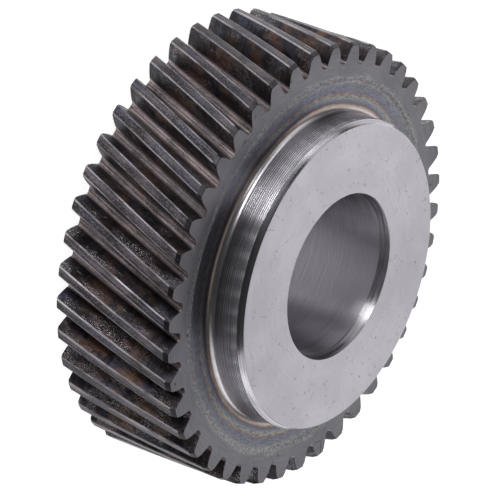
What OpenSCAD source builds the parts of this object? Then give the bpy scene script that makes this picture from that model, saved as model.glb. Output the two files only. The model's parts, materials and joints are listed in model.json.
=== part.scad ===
// Helical gear of a power saw: a right-hand toothed ring with a low turned hub on
// one side and a plain bore through both. One piece of steel, turned from a blank,
// hobbed and bored. It stands on its flat back face, with the hub upwards.

/* [Teeth] */

// Number of teeth
teeth = 42; // [40:1:60]

// Normal module of the hob, mm
normal_module = 1; // [0.95:0.01:1.25]

// Helix angle at the pitch circle, degrees (right hand)
helix_angle = 20; // [8:0.5:30]

// Normal pressure angle, degrees
pressure_angle = 20; // [17.5:0.5:22.5]

// Profile shift, in modules
profile_shift = 0.15; // [0:0.01:0.3]

// Height of the tooth above the pitch circle, in modules
addendum = 1; // [0.9:0.01:1.1]

// Depth the hob cuts below its own pitch line, in modules
dedendum = 1.25; // [1.15:0.01:1.3]

// Radius left by the hob in the bottom corners of a tooth gap, mm
root_fillet = 0.3; // [0.15:0.01:0.35]

/* [Toothed ring] */

// Width of the toothed ring along the axis, mm
face_width = 14; // [8:0.1:24]

// Depth of the chamfer on the tooth tips at the hub end, along the axis, mm
tip_chamfer_length = 0.5; // [0.2:0.05:1]

// Depth of the same chamfer across the axis, mm
tip_chamfer_depth = 0.2; // [0.1:0.01:0.4]

// Edge break on the tooth tips at the back end, mm
back_tip_break = 0.15; // [0.1:0.01:0.4]

/* [Turned face] */

// Depth of the shallow turned face between the hub and the tooth ring, mm
turned_depth = 0.12; // [0.05:0.01:0.5]

// Width of the untouched face left inside the tooth gaps, mm
tooth_ring_land = 1.55; // [0.8:0.05:1.8]

// Radial run-out of the turning tool at the outer edge of the turned face, mm
tool_run_out = 0.25; // [0.1:0.05:0.5]

/* [Hub] */

// Outer diameter of the hub, mm
hub_diameter = 32.7; // [28:0.1:33.2]

// Height of the hub above the toothed ring, mm
hub_height = 3.9; // [2.5:0.1:12]

// Length of the hub chamfer along the axis, mm
hub_chamfer_length = 0.6; // [0.2:0.05:1]

// Depth of the hub chamfer across the axis, mm
hub_chamfer_depth = 0.35; // [0.1:0.05:0.8]

// Radius of the fillet at the foot of the hub, mm
hub_fillet = 0.8; // [0.3:0.05:1]

/* [Bore] */

// Diameter of the bore, mm
bore_diameter = 17; // [8:0.1:22]

// Length of the lead-in at each mouth of the bore, along the axis, mm
lead_in_length = 1.1; // [0.3:0.05:2]

// Depth of the lead-in across the axis, mm
lead_in_depth = 0.28; // [0.1:0.01:0.8]

/* [Hidden] */

steel = "#8d8b90";
round_facets = 180;
flank_points = 5;
fillet_points = 3;
twist_slices = 6;
cut_overrun = 0.4;
quarter_turn = 90;
radian = 180 / PI;

pitch_radius = teeth * normal_module / (2 * cos(helix_angle));
tip_radius = pitch_radius + addendum * normal_module;
root_radius = pitch_radius - (dedendum - profile_shift) * normal_module;
transverse_pressure = atan(tan(pressure_angle) / cos(helix_angle));
base_radius = pitch_radius * cos(transverse_pressure);
flank_foot = max(root_radius + root_fillet, base_radius);
flank_head = tip_radius + cut_overrun;
half_pitch = 180 / teeth;
half_tooth = half_pitch / 2 + 2 * profile_shift * tan(pressure_angle) / teeth * radian;
twist_per_mm = tan(helix_angle) / pitch_radius * radian;

hub_radius = hub_diameter / 2;
bore_radius = bore_diameter / 2;
turned_radius = root_radius - tooth_ring_land;
turned_face = face_width - turned_depth;
total_length = face_width + hub_height;

// Involute function, in degrees, of the pressure angle met at radius r
function pressure_at(r) = acos(base_radius / r);
function involute(angle) = tan(angle) * radian - angle;

// Half the angle of a tooth gap at radius r
function half_gap(r) =
    half_pitch - half_tooth - involute(transverse_pressure) + involute(pressure_at(r));

function polar(r, angle) = [r * cos(angle), r * sin(angle)];

// One side of a gap, from beyond the tip down the involute and round the root corner
function flank(side) = [
    for (i = [flank_points - 1:-1:0])
        let (r = flank_foot + (flank_head - flank_foot) * i / (flank_points - 1))
        polar(r, side * half_gap(r))
];
function corner(side) =
    let (rise = flank_foot - root_radius, run = rise / root_radius * radian)
    [
        for (i = [1:fillet_points])
            let (a = quarter_turn * i / fillet_points)
            polar(flank_foot - rise * sin(a), side * (half_gap(flank_foot) - run * (1 - cos(a))))
    ];
function reversed(list) = [for (i = [len(list) - 1:-1:0]) list[i]];

module gap_outline() {
    polygon(concat(flank(-1), corner(-1), reversed(corner(1)), reversed(flank(1))));
}

// All the tooth gaps as the hob leaves them, run past both end faces
module tooth_gaps() {
    cut_length = face_width + 2 * cut_overrun;
    rotate(-twist_per_mm * cut_overrun)
        translate([0, 0, -cut_overrun])
            linear_extrude(height = cut_length, twist = -twist_per_mm * cut_length, slices = twist_slices)
                for (i = [0:teeth - 1])
                    rotate((2 * i + 1) * half_pitch)
                        gap_outline();
}

// Half section of the turned blank, bore included
module blank_section() {
    polygon([
        [bore_radius + lead_in_depth, 0],
        [tip_radius - back_tip_break, 0],
        [tip_radius, back_tip_break],
        [tip_radius, face_width - tip_chamfer_length],
        [tip_radius - tip_chamfer_depth, face_width],
        [turned_radius, face_width],
        [turned_radius - tool_run_out, turned_face],
        [hub_radius, turned_face],
        [hub_radius, total_length - hub_chamfer_length],
        [hub_radius - hub_chamfer_depth, total_length],
        [bore_radius + lead_in_depth, total_length],
        [bore_radius, total_length - lead_in_length],
        [bore_radius, lead_in_length]
    ]);
}

// Section of the fillet at the foot of the hub
module fillet_section() {
    difference() {
        translate([hub_radius - hub_fillet, turned_face - hub_fillet])
            square(2 * hub_fillet);
        translate([hub_radius + hub_fillet, turned_face + hub_fillet])
            circle(r = hub_fillet, $fn = round_facets);
    }
}

module gear() {
    color(steel)
        difference() {
            rotate_extrude($fn = round_facets) {
                blank_section();
                fillet_section();
            }
            tooth_gaps();
        }
}

gear();
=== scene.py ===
import json
from math import acos, atan, cos, hypot, pi, radians, sin, tan

import bpy
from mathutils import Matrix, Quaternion, Vector


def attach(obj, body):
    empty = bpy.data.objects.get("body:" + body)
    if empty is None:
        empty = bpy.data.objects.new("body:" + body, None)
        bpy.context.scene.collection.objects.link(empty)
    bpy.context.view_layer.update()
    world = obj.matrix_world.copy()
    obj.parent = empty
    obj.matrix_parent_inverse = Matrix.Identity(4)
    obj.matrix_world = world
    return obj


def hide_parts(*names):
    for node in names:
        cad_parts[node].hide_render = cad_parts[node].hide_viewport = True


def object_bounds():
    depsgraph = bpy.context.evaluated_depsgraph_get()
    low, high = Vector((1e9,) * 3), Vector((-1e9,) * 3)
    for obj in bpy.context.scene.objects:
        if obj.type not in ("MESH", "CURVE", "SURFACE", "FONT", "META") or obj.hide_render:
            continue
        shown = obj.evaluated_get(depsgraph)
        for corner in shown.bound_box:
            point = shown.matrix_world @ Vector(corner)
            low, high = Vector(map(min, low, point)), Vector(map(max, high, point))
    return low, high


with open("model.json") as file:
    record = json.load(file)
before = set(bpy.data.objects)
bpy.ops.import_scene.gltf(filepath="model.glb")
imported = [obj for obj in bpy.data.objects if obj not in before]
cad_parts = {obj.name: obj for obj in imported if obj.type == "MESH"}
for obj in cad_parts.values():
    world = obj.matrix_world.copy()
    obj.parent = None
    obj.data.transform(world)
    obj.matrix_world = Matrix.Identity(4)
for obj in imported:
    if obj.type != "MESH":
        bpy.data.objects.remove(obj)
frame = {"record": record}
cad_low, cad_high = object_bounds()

mm = 0.001

# Camera. A long lens looks down on the hub face from 32 degrees above it, rolled so that
# the gear's axis runs to the right and a little down in the picture.
picture_size = 500
sensor_width = 36
lens_length = 369.12
camera_distance = 517.1 * mm
camera_azimuth = radians(-0.138)
camera_elevation = radians(32.184)
camera_roll = radians(109.233)
nearest_seen = 10 * mm
hub_centre_pixel = (339.19, 276.80)

camera_back = Vector((
    sin(camera_azimuth) * cos(camera_elevation),
    -cos(camera_azimuth) * cos(camera_elevation),
    sin(camera_elevation)))
camera_turn = (-camera_back).to_track_quat("-Z", "Y") @ Quaternion((0, 0, 1), camera_roll)
metres_per_pixel = camera_distance * sensor_width / (lens_length * picture_size)
hub_centre_seen = Vector((
    (hub_centre_pixel[0] - picture_size / 2) * metres_per_pixel,
    (picture_size / 2 - hub_centre_pixel[1]) * metres_per_pixel,
    -camera_distance))
hub_centre = Vector((0, 0, cad_high.z))

bpy.ops.object.camera_add(location=hub_centre - camera_turn @ hub_centre_seen)
camera = bpy.context.object
camera.rotation_mode = "QUATERNION"
camera.rotation_quaternion = camera_turn
camera.data.lens = lens_length
camera.data.sensor_width = sensor_width
camera.data.clip_start = nearest_seen
bpy.context.scene.camera = camera
bpy.context.scene.view_settings.view_transform = "Standard"


# Floor. A white studio table, level with the back face of the gear. Its glow, seen by the
# camera and in mirrors, makes it white; in front of the gear and over half of the bore it fades
# to painted shade, where bright steel mirrors dark. Metal mirrors the table as the camera sees
# it, and the table keeps a soft shadow.
floor_width = 8
floor_paint = (0.4, 0.4, 0.4, 1)
lit_glow = 0.95
dark_glow = 0.04

# Each way is a direction on the table. Its pair of distances from the gear's axis says
# between which places the glow changes from lit to painted shade.
front_way = radians(301)
lit_front, dark_front = 34 * mm, 62 * mm
left_way = radians(163)
dark_left, lit_left = -6 * mm, 12 * mm
bore_way = radians(276)
dark_bore, lit_bore = -6 * mm, 4 * mm
bore_edge, gear_edge = 10 * mm, 20 * mm


def shader_node(tree, kind, sockets=None, **settings):
    """Adds a shader node, with its settings and with sockets given as values or links."""
    node = tree.nodes.new("ShaderNode" + kind)
    for name, value in settings.items():
        setattr(node, name, value)
    for name, value in (sockets or {}).items():
        if isinstance(value, bpy.types.NodeSocket):
            tree.links.new(value, node.inputs[name])
        else:
            node.inputs[name].default_value = value
    return node


def calc(tree, operation, first, second=0.0):
    """A Math node on one or two values or links."""
    return shader_node(tree, "Math", {0: first, 1: second}, operation=operation).outputs[0]


def vector_calc(tree, operation, first, second=(0, 0, 0), output="Vector"):
    """A Vector Math node on one or two vectors or links."""
    return shader_node(tree, "VectorMath", {0: first, 1: second}, operation=operation).outputs[output]


def between(tree, value, low, high, new_low=0.0, new_high=1.0):
    """Eases a value from low to high into the range new_low to new_high."""
    return shader_node(tree, "MapRange", {
        "Value": value, "From Min": low, "From Max": high, "To Min": new_low, "To Max": new_high},
        interpolation_type="SMOOTHSTEP").outputs["Result"]


def gone_along(tree, place, way):
    """How far a place on the table lies from the gear's axis in one direction."""
    return vector_calc(tree, "DOT_PRODUCT", place, (cos(way), sin(way), 0), output="Value")


bpy.ops.object.select_all(action="DESELECT")
bpy.ops.mesh.primitive_plane_add(size=floor_width)
floor = bpy.context.object
floor.name = "floor"
floor_white = bpy.data.materials.new("white_table")
floor_white.use_nodes = True
tree = floor_white.node_tree
tree.nodes.clear()
rays = shader_node(tree, "LightPath").outputs
seen = calc(tree, "MAXIMUM", rays["Is Camera Ray"], rays["Is Glossy Ray"])
seen = calc(tree, "MAXIMUM", seen, rays["Is Transmission Ray"])
place = shader_node(tree, "TexCoord").outputs["Object"]
# The glow fades to painted shade in front of the gear, for the steel to mirror dark.
glow_and_painted_shade = calc(
    tree, "MAXIMUM",
    between(tree, gone_along(tree, place, front_way), lit_front, dark_front, lit_glow, dark_glow),
    between(tree, gone_along(tree, place, left_way), dark_left, lit_left, dark_glow, lit_glow))
# Painted shade over half of the bore, near the axis, for the bore's wall to mirror dark.
painted_bore_shade = between(tree, gone_along(tree, place, bore_way), dark_bore, lit_bore, dark_glow, 1.0)
off_axis = vector_calc(tree, "LENGTH", place, output="Value")
painted_bore_shade = between(tree, off_axis, bore_edge, gear_edge, painted_bore_shade, 1.0)
glow_and_painted_shade = calc(tree, "MULTIPLY", glow_and_painted_shade, painted_bore_shade)
paint = shader_node(tree, "BsdfDiffuse", {"Color": floor_paint})
glow = shader_node(tree, "Emission", {"Strength": calc(tree, "MULTIPLY", seen, glow_and_painted_shade)})
table = shader_node(tree, "AddShader", {0: paint.outputs[0], 1: glow.outputs[0]})
shader_node(tree, "OutputMaterial", {"Surface": table.outputs[0]})
floor.data.materials.append(floor_white)


# Studio light. Soft boxes and low strips stand round the back and both sides of the table.
# The hub face mirrors the two behind it, and the side of the hub the strips at the left. A
# narrow box high at the left lights the bore, and a dim one hangs overhead.
lamp_distance = 0.9
room_glow = 0.05


def softbox(name, azimuth, elevation, width, height, brightness):
    """A soft box aimed at the gear. A mirror would show it at this brightness."""
    direction = Vector((
        cos(radians(azimuth)) * cos(radians(elevation)),
        sin(radians(azimuth)) * cos(radians(elevation)),
        sin(radians(elevation))))
    bpy.ops.object.light_add(type="AREA", location=hub_centre + direction * lamp_distance)
    lamp = bpy.context.object
    lamp.name = name
    lamp.rotation_mode = "QUATERNION"
    lamp.rotation_quaternion = direction.to_track_quat("Z", "Y")
    lamp.data.shape = "RECTANGLE"
    lamp.data.size = width
    lamp.data.size_y = height
    lamp.data.energy = brightness * pi * width * height
    lamp.visible_camera = False


softbox("back_softbox", azimuth=117, elevation=34, width=0.7, height=0.6, brightness=0.96)
softbox("dim_softbox", azimuth=72, elevation=34, width=0.55, height=0.6, brightness=0.68)
softbox("back_strip", azimuth=98, elevation=7, width=1.3, height=0.22, brightness=1.7)
softbox("right_softbox", azimuth=10, elevation=21, width=0.85, height=0.62, brightness=1.15)
softbox("left_softbox", azimuth=182, elevation=22, width=0.5, height=0.55, brightness=1.15)
softbox("left_strip", azimuth=214, elevation=5, width=0.7, height=0.18, brightness=2.3)
softbox("key_strip", azimuth=240, elevation=3.5, width=0.32, height=0.16, brightness=15.0)
softbox("right_strip", azimuth=22, elevation=6, width=0.75, height=0.2, brightness=1.0)
softbox("bore_strip", azimuth=225, elevation=42, width=0.1, height=0.3, brightness=5.0)
softbox("top_softbox", azimuth=90, elevation=80, width=0.6, height=0.6, brightness=0.45)

studio = bpy.data.worlds.new("studio")
bpy.context.scene.world = studio
studio.use_nodes = True
studio.node_tree.nodes["Background"].inputs["Color"].default_value = (1, 1, 1, 1)
studio.node_tree.nodes["Background"].inputs["Strength"].default_value = room_glow


# Teeth. 42 helical teeth are hobbed into the rim of the steel blank, then left dark by the
# heat treatment. One tooth is drawn in the plane of the back face, swept up its helix and
# copied round the axis.
teeth = 42
normal_module = 1 * mm
helix_angle = radians(20)
pressure_angle = radians(20)
profile_shift = 0.15
addendum = 1
dedendum = 1.25
root_corner = 0.3 * mm
worn_edge = 0.15 * mm
face_width = 14 * mm
tip_chamfer_length = 0.5 * mm
tip_chamfer_depth = 0.2 * mm
sweep_steps = 28
flank_steps = 5
corner_steps = 5
edge_steps = 3
tiny = 0.005 * mm

pitch_radius = teeth * normal_module / (2 * cos(helix_angle))
tip_radius = pitch_radius + addendum * normal_module
root_radius = pitch_radius - (dedendum - profile_shift) * normal_module
transverse_pressure = atan(tan(pressure_angle) / cos(helix_angle))
base_radius = pitch_radius * cos(transverse_pressure)
half_pitch = pi / teeth
half_tooth = half_pitch / 2 + 2 * profile_shift * tan(pressure_angle) / teeth
twist_per_metre = tan(helix_angle) / pitch_radius


def involute(angle):
    """The involute of the base circle, as an angle, for a pressure angle."""
    return tan(angle) - angle


def half_width(radius):
    """Half the angle that a tooth takes up at this radius."""
    return half_tooth + involute(transverse_pressure) - involute(acos(base_radius / radius))


def polar(radius, angle):
    """A point in the plane of the back face."""
    return Vector((radius * cos(angle), radius * sin(angle), 0))


foot_radius = root_radius + root_corner
edge_radius = tip_radius - worn_edge
corner_run = root_corner / root_radius
gap_corner = half_width(foot_radius) + corner_run
side = [(root_radius, half_pitch), (root_radius, gap_corner)]
for step in range(1, corner_steps):
    turn = step / corner_steps * pi / 2
    side.append((foot_radius - root_corner * cos(turn), gap_corner - corner_run * sin(turn)))
for step in range(flank_steps + 1):
    radius = foot_radius + (edge_radius - foot_radius) * step / flank_steps
    side.append((radius, half_width(radius)))
for step in range(1, edge_steps + 1):
    turn = step / edge_steps * pi / 2
    side.append((
        edge_radius + worn_edge * sin(turn),
        half_width(edge_radius) - worn_edge / tip_radius * (1 - cos(turn))))
side.append((tip_radius, 0))
outline = [polar(radius, -angle) for radius, angle in side]
outline += [polar(radius, angle) for radius, angle in reversed(side[:-1])]

bpy.ops.object.select_all(action="DESELECT")
bpy.ops.mesh.primitive_plane_add(size=mm)
gear = bpy.context.object
gear.name = "saw_gear"
bpy.ops.object.mode_set(mode="EDIT")
bpy.ops.mesh.merge(type="CENTER")
bpy.ops.transform.translate(value=outline[0])
for start, end in zip(outline, outline[1:]):
    bpy.ops.mesh.extrude_region_move(TRANSFORM_OT_translate={"value": end - start})
bpy.ops.object.mode_set(mode="OBJECT")

sweep = gear.modifiers.new("helix", "SCREW")
sweep.axis = "Z"
sweep.angle = twist_per_metre * face_width
sweep.screw_offset = face_width
sweep.steps = sweep_steps
sweep.render_steps = sweep_steps
sweep.use_merge_vertices = False
bpy.ops.object.modifier_apply(modifier="helix")


def pick(test):
    """Selects, in edit mode, the vertices whose radius and height pass the test."""
    bpy.ops.object.mode_set(mode="EDIT")
    bpy.ops.mesh.select_all(action="DESELECT")
    bpy.ops.object.mode_set(mode="OBJECT")
    for vertex in gear.data.vertices:
        vertex.select = test(hypot(vertex.co.x, vertex.co.y), vertex.co.z)
    bpy.ops.object.mode_set(mode="EDIT")


def resize_round_axis(ratio):
    """Draws what is selected in or out from the gear's axis, at its own height."""
    bpy.ops.transform.resize(value=(ratio, ratio, 1), center_override=(0, 0, 0))


pick(lambda radius, height: height > face_width - tiny and radius > edge_radius - tiny)
resize_round_axis(1 - tip_chamfer_depth / tip_radius)
bpy.ops.mesh.select_all(action="SELECT")
bpy.ops.mesh.spin(
    dupli=True, steps=teeth - 1, angle=2 * pi * (teeth - 1) / teeth, center=(0, 0, 0), axis=(0, 0, 1))
bpy.ops.mesh.select_all(action="SELECT")
bpy.ops.mesh.remove_doubles(threshold=tiny / 2)


def finish(material, test):
    """Gives a material to the faces whose radius, height and levelness pass the test.

    Levelness is 1 on a face that lies flat and 0 on one that stands upright.
    """
    bpy.ops.object.mode_set(mode="OBJECT")
    gear.data.materials.append(material)
    slot = len(gear.data.materials) - 1
    for face in gear.data.polygons:
        if test(hypot(face.center.x, face.center.y), face.center.z, abs(face.normal.z)):
            face.material_index = slot


def start_group(name, given, made):
    """Starts a node group with number inputs; returns its tree, inputs and outputs."""
    group = bpy.data.node_groups.new(name, "ShaderNodeTree")
    for socket in given:
        group.interface.new_socket(name=socket, in_out="INPUT", socket_type="NodeSocketFloat")
    for socket, kind in made.items():
        group.interface.new_socket(name=socket, in_out="OUTPUT", socket_type="NodeSocket" + kind)
    return group, group.nodes.new("NodeGroupInput").outputs, group.nodes.new("NodeGroupOutput").inputs


def grouped(tree, group, values=None):
    """Places a node group in a material and returns its outputs."""
    return shader_node(tree, "Group", values, node_tree=group).outputs


def noise(tree, vector, scale, detail=4.0, roughness=0.55, distortion=0.0):
    """A Noise Texture on a vector, from 0 to 1."""
    return shader_node(tree, "TexNoise", {
        "Vector": vector, "Scale": scale, "Detail": detail, "Roughness": roughness,
        "Distortion": distortion}).outputs["Fac"]


def mix(tree, amount, first, second):
    """Mixes two colours, each given as red, green and blue or as a link."""
    first, second = (
        (*colour, 1) if isinstance(colour, tuple) else colour for colour in (first, second))
    return shader_node(tree, "Mix", {0: amount, 6: first, 7: second}, data_type="RGBA").outputs[2]


def steel(name, metallic, roughness):
    """Starts a steel material; returns it, its tree and its shader's inputs."""
    material = bpy.data.materials.new(name)
    material.use_nodes = True
    shader = material.node_tree.nodes["Principled BSDF"].inputs
    shader["Metallic"].default_value = metallic
    shader["Roughness"].default_value = roughness
    return material, material.node_tree, shader


def bump(tree, height, depth, over=None):
    """Raises the surface by a height times a depth in metres, over another bump if given."""
    sockets = {"Height": height, "Distance": depth, "Strength": 1.0}
    if over:
        sockets["Normal"] = over
    return shader_node(tree, "Bump", sockets).outputs["Normal"]


def put(tree, source, socket):
    """Links an output to an input."""
    tree.links.new(source, socket)


# The unwound group straightens the helix, so that a pattern runs along each tooth. Side is
# the distance from the tooth's middle line, measured round the tips.
unwound, given, made = start_group(
    "unwound", ["Along", "Across"], {"Vector": "Vector", "Tooth": "Float", "Side": "Float"})
place = shader_node(unwound, "TexCoord").outputs["Object"]
height = shader_node(unwound, "SeparateXYZ", {0: place}).outputs["Z"]
straight = shader_node(unwound, "VectorRotate", {
    "Vector": place, "Angle": calc(unwound, "MULTIPLY", height, -twist_per_metre)},
    rotation_type="Z_AXIS").outputs[0]
parts = shader_node(unwound, "SeparateXYZ", {0: straight}).outputs
put(unwound, shader_node(unwound, "CombineXYZ", {
    "X": calc(unwound, "MULTIPLY", parts["X"], given["Across"]),
    "Y": calc(unwound, "MULTIPLY", parts["Y"], given["Across"]),
    "Z": calc(unwound, "MULTIPLY", parts["Z"], given["Along"])}).outputs[0], made["Vector"])
turned_by = calc(unwound, "ARCTAN2", parts["Y"], parts["X"])
pitches = calc(unwound, "DIVIDE", turned_by, 2 * half_pitch)
tooth_number = calc(unwound, "ROUND", pitches)
off_middle = calc(unwound, "SUBTRACT", pitches, tooth_number)
put(unwound, calc(unwound, "MULTIPLY", off_middle, 2 * half_pitch * tip_radius), made["Side"])
tooth_number = calc(unwound, "FLOORED_MODULO", tooth_number, teeth)
put(unwound, shader_node(unwound, "TexWhiteNoise", {
    "W": tooth_number}, noise_dimensions="1D").outputs["Value"], made["Tooth"])


def tooth_lie(tree, along, across):
    """Where a point lies on its tooth, with the pattern's fineness along and across it."""
    return grouped(tree, unwound, {"Along": along, "Across": across})["Vector"]


def flank_finish():
    """Black scale with rust and blue, fine hob marks and a coarse grain that sparkles, with glints also
    painted into its colour.
    """
    black_scale, rust_brown = (0.022, 0.019, 0.024), (0.16, 0.090, 0.059)
    scale_blue, hobbed_grey = (0.058, 0.066, 0.11), (0.15, 0.14, 0.165)
    pitted_black, painted_glint_grey = (0.015, 0.014, 0.015), (0.68, 0.63, 0.66)
    material, tree, shader = steel("scaled_flank", metallic=0.85, roughness=0.45)
    lie = tooth_lie(tree, along=1.0, across=1.7)
    height = shader_node(tree, "SeparateXYZ", {0: lie}).outputs["Z"]
    off_middle = calc(tree, "ABSOLUTE", calc(tree, "SUBTRACT", height, face_width / 2))
    middle = between(tree, off_middle, 1.5 * mm, 6.5 * mm, 1.0, 0.2)
    patches = noise(tree, lie, scale=330, detail=7, roughness=0.66, distortion=0.5)
    rust = calc(tree, "MULTIPLY", between(tree, patches, 0.45, 0.60), middle)
    base = mix(tree, rust, black_scale, rust_brown)
    clouds = noise(tree, lie, scale=520, detail=5, roughness=0.6)
    base = mix(tree, between(tree, clouds, 0.50, 0.64, 0.0, 0.6), base, scale_blue)
    hob_marks = noise(tree, tooth_lie(tree, along=2600.0, across=260.0), scale=1, detail=2)
    base = mix(tree, between(tree, hob_marks, 0.45, 0.65, 0.0, 0.25), base, hobbed_grey)
    grain = noise(tree, lie, scale=9200, detail=3, roughness=0.75)
    base = mix(tree, between(tree, grain, 0.36, 0.48, 0.6, 0.0), base, pitted_black)
    worn = between(tree, noise(tree, lie, scale=240, detail=4, roughness=0.6), 0.46, 0.60)
    # Painted glints: bright points of colour in the grain on the worn patches.
    glint = calc(tree, "MULTIPLY", between(tree, grain, 0.55, 0.61), worn)
    base = mix(tree, calc(tree, "MULTIPLY", glint, 0.9), base, painted_glint_grey)
    put(tree, base, shader["Base Color"])
    put(tree, between(tree, worn, 0.0, 1.0, 0.46, 0.22), shader["Roughness"])
    normal = bump(tree, hob_marks, depth=0.010 * mm)
    grit = calc(tree, "MULTIPLY", grain, between(tree, worn, 0.0, 1.0, 0.4, 1.0))
    put(tree, bump(tree, grit, depth=0.07 * mm, over=normal), shader["Normal"])
    return material


def land_finish(name, dark, pale, blue, streak_width, glint=0.4, shaded=0.0, lined=0.0):
    """Worn scale on the hobbed lands: streaked grey and brown with small bright points of painted
    glint.

    Shaded paints shade on the land, darker towards one side. Lined draws the hob's lines in a gap:
    pale lines by the flanks, partly painted highlight, and a dark middle line of painted groove shade.
    """
    dull_tooth, painted_shade_brown = (0.04, 0.036, 0.040), (0.03, 0.024, 0.024)
    pale_line_and_highlight, painted_groove_shade = (0.50, 0.44, 0.46), (0.02, 0.016, 0.016)
    pitted_black, painted_glint_point = (0.02, 0.018, 0.020), (0.45, 0.42, 0.46)
    material, tree, shader = steel(name, metallic=0.9, roughness=0.42)
    lie = grouped(tree, unwound, {"Along": 0.5, "Across": 1.0})
    mottle = noise(tree, lie["Vector"], scale=620, detail=6, roughness=0.65)
    streaks = noise(
        tree, tooth_lie(tree, along=160.0, across=1 / streak_width), scale=1, detail=4, roughness=0.6)
    tone = calc(tree, "ADD", calc(tree, "MULTIPLY", mottle, 0.5), calc(tree, "MULTIPLY", streaks, 0.5))
    base = mix(tree, between(tree, tone, 0.41, 0.58), dark, pale)
    clouds = noise(tree, lie["Vector"], scale=330, detail=5, roughness=0.6)
    base = mix(tree, between(tree, clouds, 0.46, 0.62, 0.0, 0.6), base, blue)
    base = mix(tree, between(tree, lie["Tooth"], 0, 1, 0.0, 0.4), base, dull_tooth)
    uneven = calc(tree, "ADD", lie["Side"], between(tree, tone, 0.35, 0.65, 0.15 * mm, -0.15 * mm))
    # Painted shade: the land grows darker towards one side.
    base = mix(tree, between(tree, uneven, -0.05 * mm, 0.2 * mm, 0.0, shaded), base, painted_shade_brown)
    off_gap = calc(tree, "SUBTRACT", half_pitch * tip_radius, calc(tree, "ABSOLUTE", lie["Side"]))
    # Pale hob lines beside the flanks, partly painted highlight, then a dark middle line of painted
    # shade in a groove.
    base = mix(tree, between(tree, off_gap, 0.34 * mm, 0.46 * mm, 0.0, lined), base, pale_line_and_highlight)
    base = mix(tree, between(tree, off_gap, 0.03 * mm, 0.09 * mm, lined, 0.0), base, painted_groove_shade)
    grain = noise(
        tree, tooth_lie(tree, along=5200.0, across=9000.0), scale=1, detail=3, roughness=0.7)
    base = mix(tree, between(tree, grain, 0.34, 0.48, 0.55, 0.0), base, pitted_black)
    # Painted glints: small bright points of colour in the grain.
    base = mix(tree, between(tree, grain, 0.54, 0.66, 0.0, glint), base, painted_glint_point)
    put(tree, base, shader["Base Color"])
    put(tree, between(tree, grain, 0.3, 0.7, 0.34, 0.52), shader["Roughness"])
    put(tree, bump(tree, grain, depth=0.014 * mm), shader["Normal"])
    return material


def tip_at(height):
    """Radius of the tooth tips at a height, where the last step of the sweep is chamfered."""
    return tip_radius - (tip_chamfer_depth / 2 if height > face_width - tip_chamfer_length else 0)


finish(flank_finish(), lambda radius, height, level: True)
finish(
    land_finish(
        "hobbed_root", dark=(0.050, 0.038, 0.037), pale=(0.38, 0.305, 0.30), blue=(0.18, 0.16, 0.17),
        streak_width=0.16 * mm, glint=0.6, lined=0.75),
    lambda radius, height, level: radius < foot_radius - tiny)
finish(
    land_finish(
        "worn_land", dark=(0.033, 0.027, 0.030), pale=(0.148, 0.130, 0.147), blue=(0.062, 0.067, 0.10),
        streak_width=0.3 * mm, shaded=0.6),
    lambda radius, height, level: radius > tip_at(height) - tiny)
finish(
    land_finish(
        "bright_edge", dark=(0.12, 0.109, 0.117), pale=(0.54, 0.505, 0.545), blue=(0.26, 0.26, 0.315),
        streak_width=0.3 * mm),
    lambda radius, height, level: tip_at(height) - worn_edge < radius < tip_at(height) - tiny)
finish(
    land_finish(
        "tip_chamfer", dark=(0.030, 0.028, 0.030), pale=(0.06, 0.055, 0.06), blue=(0.04, 0.045, 0.06),
        streak_width=0.3 * mm, glint=0.1),
    lambda radius, height, level: (
        height > face_width - tip_chamfer_length and radius > tip_at(height) - worn_edge))


# Faces of the toothed ring. Both are turned flat; the one round the hub is dull grey with a
# skin of oxide, and its inner part was cut a little deeper when the hub was turned.
turned_depth = 0.12 * mm
ring_land = 1.55 * mm
tool_run_out = 0.25 * mm
sharp_edge = 0.04 * mm
back_tip_break = 0.15 * mm
turned_radius = root_radius - ring_land
turned_face = face_width - turned_depth
lying_flat = 0.9


def round_off(radius):
    """Draws the selected outline in to a true circle of this radius, in its own plane."""
    bpy.ops.mesh.extrude_region_move()
    bpy.ops.transform.tosphere(value=1)
    gear.update_from_editmode()
    drawn = next(vertex.co for vertex in gear.data.vertices if vertex.select)
    resize_round_axis(radius / hypot(drawn.x, drawn.y))


pick(lambda radius, height: height < tiny)
round_off(turned_radius)
pick(lambda radius, height: height < tiny and radius > edge_radius - tiny)
bpy.ops.mesh.bevel(offset=back_tip_break)
pick(lambda radius, height: height > face_width - tiny)
round_off(turned_radius)
pick(lambda radius, height: height > face_width - tiny and radius > root_radius - tiny)
bpy.ops.mesh.bevel(offset=sharp_edge)


def from_axis(tree, place):
    """Flattens a place on to the back face; returns the flat place and its radius."""
    flat = vector_calc(tree, "MULTIPLY", place, (1, 1, 0))
    return flat, vector_calc(tree, "LENGTH", flat, output="Value")


# The lathe_grain group runs a pattern round the axis, fine across the lathe's marks.
lathe_grain, given, made = start_group(
    "lathe_grain", ["Around", "Across"], {"Vector": "Vector", "Depth": "Float"})
place = shader_node(lathe_grain, "TexCoord").outputs["Object"]
flat, radius = from_axis(lathe_grain, place)
outward = vector_calc(lathe_grain, "NORMALIZE", flat)
outward = shader_node(lathe_grain, "VectorMath", {
    0: outward, "Scale": given["Around"]}, operation="SCALE").outputs["Vector"]
height = shader_node(lathe_grain, "SeparateXYZ", {0: place}).outputs["Z"]
depth = calc(lathe_grain, "SUBTRACT", radius, height)
layer = shader_node(lathe_grain, "CombineXYZ", {
    "Z": calc(lathe_grain, "MULTIPLY", depth, given["Across"])}).outputs[0]
put(lathe_grain, vector_calc(lathe_grain, "ADD", outward, layer), made["Vector"])
put(lathe_grain, depth, made["Depth"])


def lathe_lie(tree, around, across):
    """Where a point lies among the lathe's marks, with the pattern's fineness round and across."""
    return grouped(tree, lathe_grain, {"Around": around, "Across": across})["Vector"]


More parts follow.
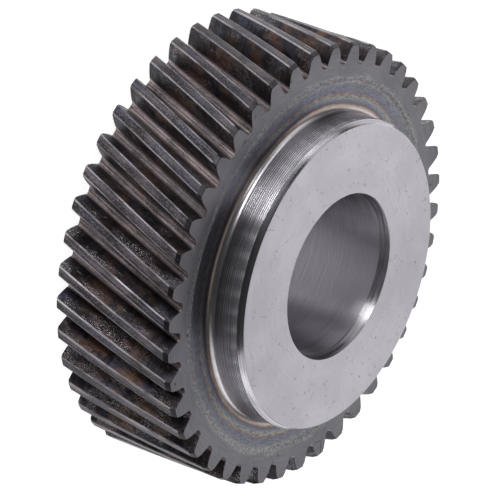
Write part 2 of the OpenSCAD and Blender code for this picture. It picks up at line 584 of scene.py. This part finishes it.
# The specks group scatters small spots of uneven size, one in a few of its cells.
largest_spot = 0.45
specks, given, made = start_group("specks", ["Size", "Share"], {"Mask": "Float"})
place = shader_node(specks, "TexCoord").outputs["Object"]
cells = shader_node(specks, "TexVoronoi", {
    "Vector": place, "Scale": calc(specks, "DIVIDE", 1.0, given["Size"])}).outputs
chance = shader_node(specks, "SeparateColor", {0: cells["Color"]}).outputs["Red"]
spot = calc(specks, "SUBTRACT", chance, calc(specks, "SUBTRACT", 1.0, given["Share"]))
spot = calc(specks, "DIVIDE", calc(specks, "MULTIPLY", spot, largest_spot), given["Share"])
put(specks, calc(specks, "LESS_THAN", cells["Distance"], spot), made["Mask"])

# The hairlines group draws a few thin scratches along the seams of stretched cells.
hairline_turn = radians(37)
hairline_stretch = (1, 0.3, 1)
patches_per_cell = 1.7
hairlines, given, made = start_group("hairlines", ["Spacing", "Width", "Share"], {"Mask": "Float"})
place = shader_node(hairlines, "TexCoord").outputs["Object"]
bent = shader_node(hairlines, "VectorRotate", {
    "Vector": place, "Angle": hairline_turn}, rotation_type="Z_AXIS").outputs[0]
longer = vector_calc(hairlines, "MULTIPLY", bent, hairline_stretch)
tight = calc(hairlines, "DIVIDE", 1.0, given["Spacing"])
edges = shader_node(hairlines, "TexVoronoi", {
    "Vector": longer, "Scale": tight}, feature="DISTANCE_TO_EDGE").outputs["Distance"]
line = calc(hairlines, "LESS_THAN", edges, calc(hairlines, "MULTIPLY", given["Width"], tight))
chosen = noise(
    hairlines, place, scale=calc(hairlines, "MULTIPLY", tight, patches_per_cell), detail=2)
chosen = calc(hairlines, "GREATER_THAN", chosen, calc(hairlines, "SUBTRACT", 1.0, given["Share"]))
put(hairlines, calc(hairlines, "MULTIPLY", line, chosen), made["Mask"])

# The torn_skin group is a rough border where the turning tool ran out of the oxide skin.
torn_skin, given, made = start_group(
    "torn_skin", ["Radius", "Width"], {"Mask": "Float", "Height": "Float"})
place = shader_node(torn_skin, "TexCoord").outputs["Object"]
flat, radius = from_axis(torn_skin, place)
drift = noise(torn_skin, place, scale=300, detail=4, roughness=0.6)
wander = between(torn_skin, drift, 0.3, 0.7, -0.25 * mm, 0.25 * mm)
off_border = calc(torn_skin, "ABSOLUTE", calc(
    torn_skin, "SUBTRACT", calc(torn_skin, "ADD", radius, wander), given["Radius"]))
near_border = calc(torn_skin, "SUBTRACT", 1.0, calc(torn_skin, "DIVIDE", off_border, given["Width"]))
near_border = between(torn_skin, near_border, 0.0, 0.7)
flakes = noise(
    torn_skin, lathe_lie(torn_skin, around=70.0, across=5200.0), scale=1, detail=4, roughness=0.7)
put(torn_skin, flakes, made["Height"])
flakes = between(torn_skin, flakes, 0.46, 0.58)
put(torn_skin, calc(torn_skin, "MULTIPLY", near_border, flakes), made["Mask"])


def ring_finish(name, colour, tip_colour):
    """Dull oxide skin with clouds, hairlines and small pits, a little redder at the tips."""
    cloud_blue, line_grey = (0.16, 0.175, 0.205), (0.42, 0.41, 0.42)
    torn_pale, pit_dark = (0.48, 0.46, 0.46), (0.05, 0.048, 0.05)
    material, tree, shader = steel(name, metallic=0.9, roughness=0.40)
    place = shader_node(tree, "TexCoord").outputs["Object"]
    flat, radius = from_axis(tree, place)
    base = mix(tree, between(tree, radius, root_radius - 0.5 * mm, tip_radius), colour, tip_colour)
    cloud = noise(tree, place, scale=210, detail=6, roughness=0.62)
    base = mix(tree, between(tree, cloud, 0.35, 0.65, 0.0, 0.35), base, cloud_blue)
    lines = noise(tree, lathe_lie(tree, around=9.0, across=11000.0), scale=1, detail=3)
    base = mix(tree, between(tree, lines, 0.40, 0.62, 0.0, 0.16), base, line_grey)
    torn = grouped(tree, torn_skin, {"Radius": turned_radius, "Width": 0.55 * mm})
    base = mix(tree, calc(tree, "MULTIPLY", torn["Mask"], 0.6), base, torn_pale)
    pits = grouped(tree, specks, {"Size": 0.45 * mm, "Share": 0.05})["Mask"]
    cracks = grouped(tree, hairlines, {"Spacing": 5 * mm, "Width": 0.012 * mm, "Share": 0.46})["Mask"]
    marked = calc(tree, "MULTIPLY", calc(tree, "MAXIMUM", pits, cracks), 0.7)
    put(tree, mix(tree, marked, base, pit_dark), shader["Base Color"])
    put(tree, between(tree, cloud, 0.3, 0.7, 0.34, 0.46), shader["Roughness"])
    grain = noise(tree, place, scale=7000, detail=3, roughness=0.6)
    normal = bump(tree, grain, depth=0.003 * mm)
    put(tree, bump(tree, torn["Mask"], depth=0.012 * mm, over=normal), shader["Normal"])
    return material


finish(
    ring_finish("dull_face", colour=(0.190, 0.184, 0.208), tip_colour=(0.172, 0.154, 0.172)),
    lambda radius, height, level: height > face_width - tiny and level > lying_flat)


# Turned hub. The lathe leaves a shallow face round the hub, a fillet at its foot and the
# hub with its feed marks. The heat of a finishing cut left rings of temper colours.
hub_radius = 16.35 * mm
hub_chamfer_length = 0.6 * mm
hub_chamfer_depth = 0.35 * mm
hub_fillet = 0.8 * mm
fillet_steps = 12
hub_height = cad_high.z
upright = 0.05
across_marks = 0.25

# Each temper colour stands at its place from the foot of the hub, 0, to the torn skin, 1.
temper_start, temper_end = 1.6 * mm, 6.0 * mm
temper_colours = [
    (0.00, (0.50, 0.49, 0.53)),
    (0.18, (0.51, 0.48, 0.50)),
    (0.27, (0.48, 0.41, 0.38)),
    (0.325, (0.36, 0.27, 0.23)),
    (0.37, (0.17, 0.12, 0.13)),
    (0.42, (0.17, 0.18, 0.24)),
    (0.48, (0.27, 0.29, 0.32)),
    (0.53, (0.33, 0.31, 0.27)),
    (0.58, (0.30, 0.24, 0.22)),
    (0.62, (0.21, 0.18, 0.22)),
    (0.69, (0.20, 0.21, 0.26)),
    (0.85, (0.23, 0.23, 0.26)),
    (1.00, (0.23, 0.22, 0.24))]


def lathe(stations):
    """Carries the selected ring of edges along a list of (radius, height) stations."""
    for (radius, height), (next_radius, next_height) in zip(stations, stations[1:]):
        bpy.ops.mesh.extrude_region_move(
            TRANSFORM_OT_translate={"value": (0, 0, next_height - height)})
        resize_round_axis(next_radius / radius)


fillet = []
for step in range(fillet_steps + 1):
    turn = step / fillet_steps * pi / 2
    fillet.append((
        hub_radius + hub_fillet * (1 - sin(turn)),
        turned_face + hub_fillet * (1 - cos(turn))))
pick(lambda radius, height: height > face_width - tiny and abs(radius - turned_radius) < tiny)
lathe([
    (turned_radius, face_width),
    (turned_radius - tool_run_out, turned_face),
    *fillet,
    (hub_radius, hub_height - hub_chamfer_length),
    (hub_radius - hub_chamfer_depth, hub_height)])

# The feed_marks group cuts fine scalloped grooves round the axis.
feed_marks, given, made = start_group("feed_marks", ["Pitch", "Waver"], {"Height": "Float"})
grain = grouped(feed_marks, lathe_grain, {"Around": 3.0, "Across": 900.0})
phase = calc(feed_marks, "DIVIDE", grain["Depth"], given["Pitch"])
waver = noise(feed_marks, grain["Vector"], scale=1, detail=2)
waver = calc(feed_marks, "MULTIPLY", waver, given["Waver"])
phase = calc(feed_marks, "FRACT", calc(feed_marks, "ADD", phase, waver))
scallop = calc(feed_marks, "MULTIPLY", calc(feed_marks, "SUBTRACT", phase, 0.5), 2.0)
put(feed_marks, calc(feed_marks, "POWER", calc(feed_marks, "ABSOLUTE", scallop), 2.0), made["Height"])


def ramp(tree, value, stops):
    """A colour ramp through (position, colour) stops."""
    node = shader_node(tree, "ValToRGB", {"Fac": value})
    points = node.color_ramp.elements
    points[0].position = stops[0][0]
    points[1].position = stops[-1][0]
    for position, colour in stops[1:-1]:
        points.new(position)
    for point, (position, colour) in zip(points, stops):
        point.color = (*colour, 1)
    return node.outputs["Color"]


def tempered_finish():
    """Bright fillet, then straw, purple and blue rings, then a grooved and ragged skin."""
    speckle_dark, torn_pale = (0.085, 0.09, 0.11), (0.50, 0.48, 0.46)
    material, tree, shader = steel("tempered_face", metallic=1.0, roughness=0.26)
    place = shader_node(tree, "TexCoord").outputs["Object"]
    grain = grouped(tree, lathe_grain, {"Around": 26.0, "Across": 7000.0})
    fret = noise(tree, grain["Vector"], scale=1, detail=4, roughness=0.6)
    drift = noise(tree, place, scale=130, detail=3)
    reach = calc(tree, "ADD", grain["Depth"], between(tree, drift, 0.3, 0.7, -0.10 * mm, 0.10 * mm))
    reach = calc(tree, "ADD", reach, between(tree, fret, 0.3, 0.7, -0.06 * mm, 0.06 * mm))
    reach = shader_node(tree, "MapRange", {
        "Value": reach, "From Min": temper_start, "From Max": temper_end}).outputs["Result"]
    base = ramp(tree, reach, temper_colours)
    dull = between(tree, reach, 0.3, 0.5, 0.15, 0.55)
    speckle = calc(tree, "MULTIPLY", between(tree, fret, 0.44, 0.58), dull)
    base = mix(tree, speckle, base, speckle_dark)
    torn = grouped(tree, torn_skin, {"Radius": turned_radius, "Width": 0.75 * mm})
    base = mix(tree, calc(tree, "MULTIPLY", torn["Mask"], 0.7), base, torn_pale)
    put(tree, base, shader["Base Color"])
    put(tree, between(tree, reach, 0.2, 0.6, 0.28, 0.36), shader["Roughness"])
    marks = grouped(tree, feed_marks, {"Pitch": 0.2 * mm, "Waver": 0.8})["Height"]
    groove = between(tree, reach, 0.15, 0.4, 0.1, 1.0)
    normal = bump(tree, calc(tree, "MULTIPLY", marks, groove), depth=0.006 * mm)
    normal = bump(tree, calc(tree, "MULTIPLY", fret, groove), depth=0.008 * mm, over=normal)
    put(tree, bump(tree, torn["Mask"], depth=0.015 * mm, over=normal), shader["Normal"])
    return material


def torn_finish():
    """Rough metal on the narrow slope where the tool ran out of the skin."""
    torn_grey, torn_pale = (0.40, 0.39, 0.41), (0.66, 0.64, 0.62)
    material, tree, shader = steel("torn_edge", metallic=0.9, roughness=0.7)
    torn = grouped(tree, torn_skin, {"Radius": turned_radius, "Width": 0.75 * mm})
    put(tree, mix(tree, torn["Mask"], torn_grey, torn_pale), shader["Base Color"])
    put(tree, bump(tree, torn["Height"], depth=0.03 * mm), shader["Normal"])
    return material


def turned_finish(name, colour, roughness, pitch, depth, anisotropy=0.0, contrast=0.38):
    """Bright steel with the feed marks of a lathe tool, long streaks and small flecks."""
    fleck_grey = (0.20, 0.19, 0.21)
    material, tree, shader = steel(name, metallic=1.0, roughness=roughness)
    shader["Anisotropic"].default_value = anisotropy
    shader["Anisotropic Rotation"].default_value = across_marks
    streak = noise(
        tree, lathe_lie(tree, around=1.2, across=6000.0), scale=1, detail=5, roughness=0.65)
    dull = tuple((1 - contrast) * part for part in colour)
    base = mix(tree, between(tree, streak, 0.38, 0.58), dull, colour)
    flecks = noise(tree, lathe_lie(tree, around=45.0, across=9000.0), scale=1, detail=3)
    base = mix(tree, between(tree, flecks, 0.58, 0.7, 0.0, contrast), base, fleck_grey)
    put(tree, base, shader["Base Color"])
    put(tree, between(tree, streak, 0.3, 0.7, roughness * 0.8, roughness * 1.2), shader["Roughness"])
    marks = grouped(tree, feed_marks, {"Pitch": pitch, "Waver": 0.12})["Height"]
    put(tree, bump(tree, marks, depth), shader["Normal"])
    return material


finish(tempered_finish(), lambda radius, height, level: (
    radius < turned_radius and turned_face - tiny < height < turned_face + hub_fillet))
finish(torn_finish(), lambda radius, height, level: (
    turned_radius - tool_run_out < radius < turned_radius - tiny
    and turned_face + tiny < height < face_width - tiny))
finish(
    turned_finish(
        "turned_side", colour=(0.62, 0.60, 0.66), roughness=0.18, pitch=0.23 * mm, depth=0.012 * mm,
        anisotropy=0.85),
    lambda radius, height, level: height > turned_face + hub_fillet and level < upright)
finish(
    turned_finish(
        "turned_chamfer", colour=(0.47, 0.455, 0.50), roughness=0.2, pitch=0.16 * mm, depth=0.001 * mm),
    lambda radius, height, level: height > hub_height - hub_chamfer_length and level > upright)


# Hub face. It is the end of the hub, of the same steel, faced flat and bright on the lathe.
# It has fine scratches and a few small pits from use.
bore_radius = frame["record"]["mounts"][0]["dims"]["r_mm"] * mm
lead_in_length = 1.1 * mm
lead_in_depth = 0.28 * mm
mouth_radius = bore_radius + lead_in_depth


def faced_finish():
    """Pale faced steel with fine marks, hairlines and pits."""
    clouded_steel, clear_steel = (0.54, 0.515, 0.57), (0.605, 0.58, 0.64)
    mark_grey, pit_grey = (0.50, 0.48, 0.53), (0.19, 0.18, 0.20)
    material, tree, shader = steel("faced_steel", metallic=1.0, roughness=0.32)
    shader["Anisotropic"].default_value = 0.45
    shader["Anisotropic Rotation"].default_value = across_marks
    place = shader_node(tree, "TexCoord").outputs["Object"]
    marks = noise(tree, lathe_lie(tree, around=1.2, across=5200.0), scale=1, detail=4, roughness=0.6)
    cloud = noise(tree, place, scale=240, detail=5, roughness=0.6)
    base = mix(tree, between(tree, cloud, 0.35, 0.65), clouded_steel, clear_steel)
    base = mix(tree, between(tree, marks, 0.35, 0.65, 0.0, 0.3), base, mark_grey)
    pits = grouped(tree, specks, {"Size": 0.36 * mm, "Share": 0.05})["Mask"]
    scratches = grouped(tree, hairlines, {
        "Spacing": 1.3 * mm, "Width": 0.02 * mm, "Share": 0.42})["Mask"]
    marked = calc(
        tree, "MAXIMUM", calc(tree, "MULTIPLY", pits, 0.6), calc(tree, "MULTIPLY", scratches, 0.4))
    put(tree, mix(tree, marked, base, pit_grey), shader["Base Color"])
    put(tree, between(tree, marks, 0.3, 0.7, 0.29, 0.36), shader["Roughness"])
    fine = noise(tree, place, scale=5200, detail=3, roughness=0.6)
    normal = bump(tree, fine, depth=0.002 * mm)
    put(tree, bump(tree, marks, depth=0.0025 * mm, over=normal), shader["Normal"])
    return material


pick(lambda radius, height: height > hub_height - tiny)
lathe([(hub_radius - hub_chamfer_depth, hub_height), (mouth_radius, hub_height)])
finish(faced_finish(), lambda radius, height, level: height > hub_height - tiny)


# Bore. It goes through the hub and the toothed ring, bored in the steel and polished by its
# spindle, with a narrow lead-in at each mouth.
pick(lambda radius, height: height > hub_height - tiny and radius < mouth_radius + tiny)
lathe([
    (mouth_radius, hub_height),
    (bore_radius, hub_height - lead_in_length),
    (bore_radius, lead_in_length),
    (mouth_radius, 0)])
finish(
    turned_finish(
        "bored_wall", colour=(0.585, 0.56, 0.615), roughness=0.36, pitch=0.31 * mm,
        depth=0.0005 * mm, anisotropy=0.95, contrast=0.18),
    lambda radius, height, level: abs(radius - bore_radius) < tiny and level < upright)
finish(
    turned_finish(
        "lead_in", colour=(0.55, 0.53, 0.57), roughness=0.32, pitch=0.15 * mm, depth=0.002 * mm,
        anisotropy=0.6),
    lambda radius, height, level: bore_radius + tiny < radius < mouth_radius - tiny)


# Back face. It is turned flat from the same steel, stands on the table and joins the bore to
# the toothed ring.
pick(lambda radius, height: height < tiny and radius < mouth_radius + tiny)
lathe([(mouth_radius, 0), (hub_radius, 0)])
pick(lambda radius, height: height < tiny and hub_radius - tiny < radius < turned_radius + tiny)
bpy.ops.mesh.bridge_edge_loops()
finish(
    turned_finish(
        "back_face", colour=(0.40, 0.39, 0.41), roughness=0.38, pitch=0.3 * mm, depth=0.004 * mm),
    lambda radius, height, level: height < tiny)


# Broken edges. The edges of the hub and the bore are touched with a file, which takes off
# their sharpness. That closes the gear, one piece of steel with no moving part.
smooth_angle = radians(9)


def break_edge(radius, height, width):
    """Takes the sharpness off one turned edge."""
    pick(lambda r, z: abs(r - radius) < tiny and abs(z - height) < tiny)
    bpy.ops.mesh.bevel(offset=width, segments=2)


break_edge(hub_radius - hub_chamfer_depth, hub_height, sharp_edge)
break_edge(hub_radius, hub_height - hub_chamfer_length, sharp_edge)
break_edge(mouth_radius, hub_height, sharp_edge)
break_edge(mouth_radius, 0, sharp_edge)
bpy.ops.mesh.select_all(action="SELECT")
bpy.ops.mesh.normals_make_consistent(inside=False)
bpy.ops.object.mode_set(mode="OBJECT")
bpy.ops.object.shade_smooth_by_angle(angle=smooth_angle)

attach(gear, "root")
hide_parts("gear")
